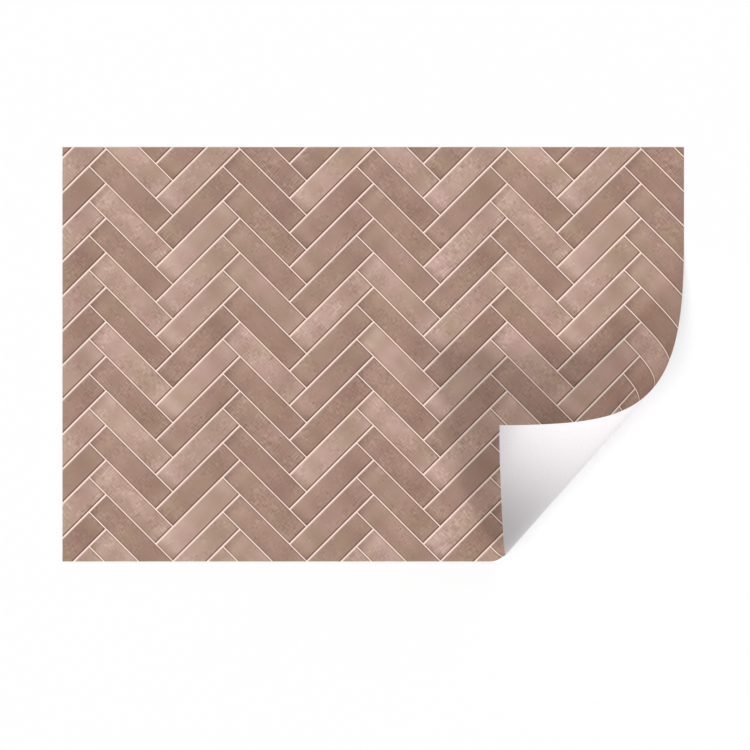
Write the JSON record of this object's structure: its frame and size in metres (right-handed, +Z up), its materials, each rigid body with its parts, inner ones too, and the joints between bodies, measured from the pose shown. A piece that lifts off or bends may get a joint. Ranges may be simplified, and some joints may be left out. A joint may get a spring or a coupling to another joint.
{
  "type": "peel and stick backsplash sheet",
  "caption": "Flat self-adhesive wall sheet printed with a herringbone tile pattern, one corner curled over to show its white backing paper.",
  "frame": {"origin": "the middle of the sheet's underside, on the floor it lies on", "axes": "+X along the sheet's long edge towards the curled corner, +Y along its short edge away from the curled corner, +Z up out of the printed face"},
  "size_m": [1.2, 0.8, 0.18],
  "materials": {
    "printed_vinyl": "satin printed vinyl film",
    "backing_paper": "smooth white backing paper"
  },
  "bodies": {
    "root": {"printed_film": "printed_vinyl", "release_liner": "backing_paper"}
  },
  "joints": []
}
